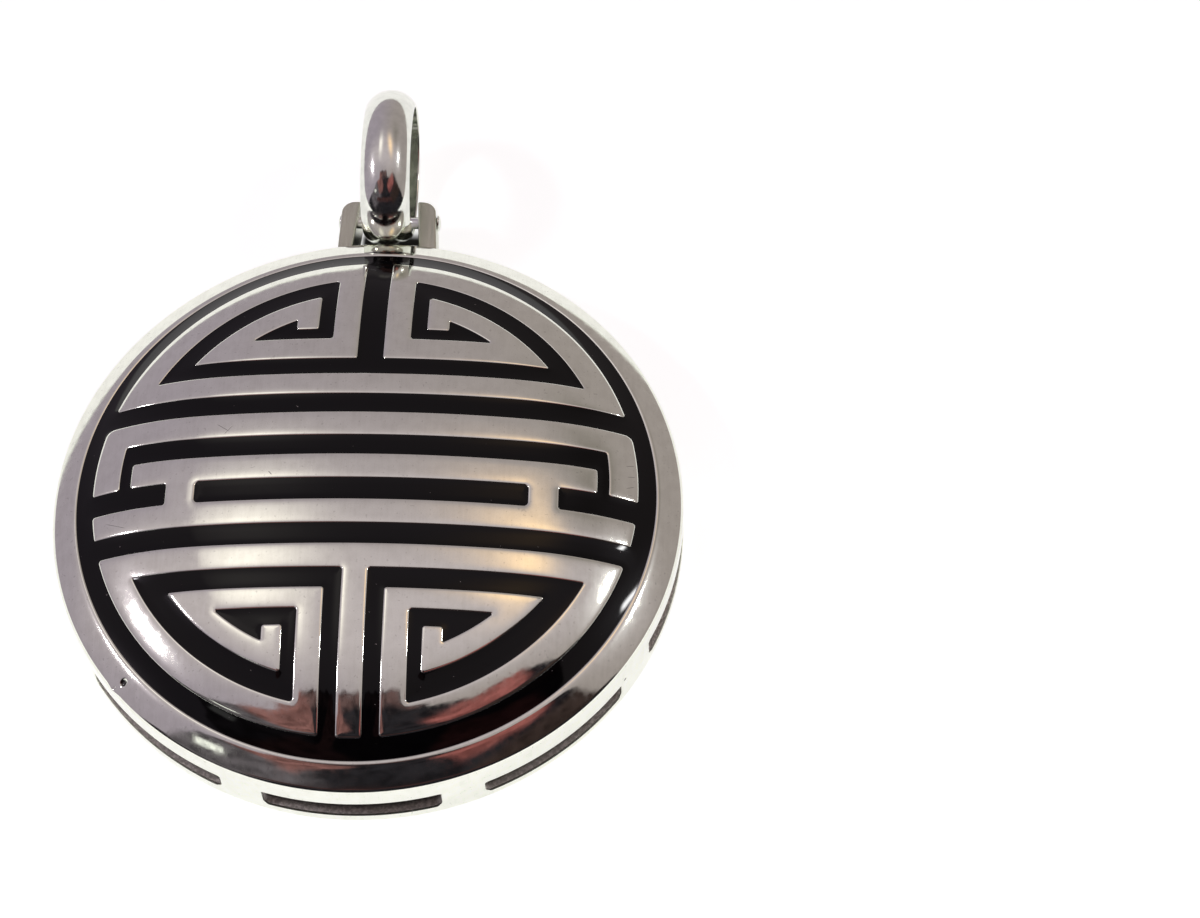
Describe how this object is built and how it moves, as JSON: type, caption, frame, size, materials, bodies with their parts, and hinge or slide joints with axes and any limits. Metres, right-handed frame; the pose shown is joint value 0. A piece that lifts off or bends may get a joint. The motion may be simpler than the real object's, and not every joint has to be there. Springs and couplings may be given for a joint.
{
  "type": "amulet pendant",
  "caption": "Round domed silver pendant with a longevity medallion in black enamel, a pierced side band, and a bail ring on a hinge pin for a chain or cord.",
  "frame": {"origin": "centre of the flat back, on the surface that the pendant lies on", "axes": "+Z out of the domed front, +Y from the centre to the bail, +X to the wearer's left when the bail is up"},
  "size_m": [0.0354, 0.0455, 0.008],
  "materials": {
    "silver": "satin",
    "enamel": "gloss",
    "silver_pin": "satin",
    "silver_bail": "satin"
  },
  "bodies": {
    "pendant": {"case": "silver", "enamel_field": "enamel", "enamel_bar": "enamel", "hinge_pin": "silver_pin"},
    "bail": {"bail": "silver_bail"}
  },
  "joints": [
    {"name": "bail_hinge", "type": "hinge", "parent": "pendant", "child": "bail", "pos_m": [0, 0.02005, 0.00235], "axis": [1, 0, 0], "range_deg": [-86, 2.5]}
  ]
}
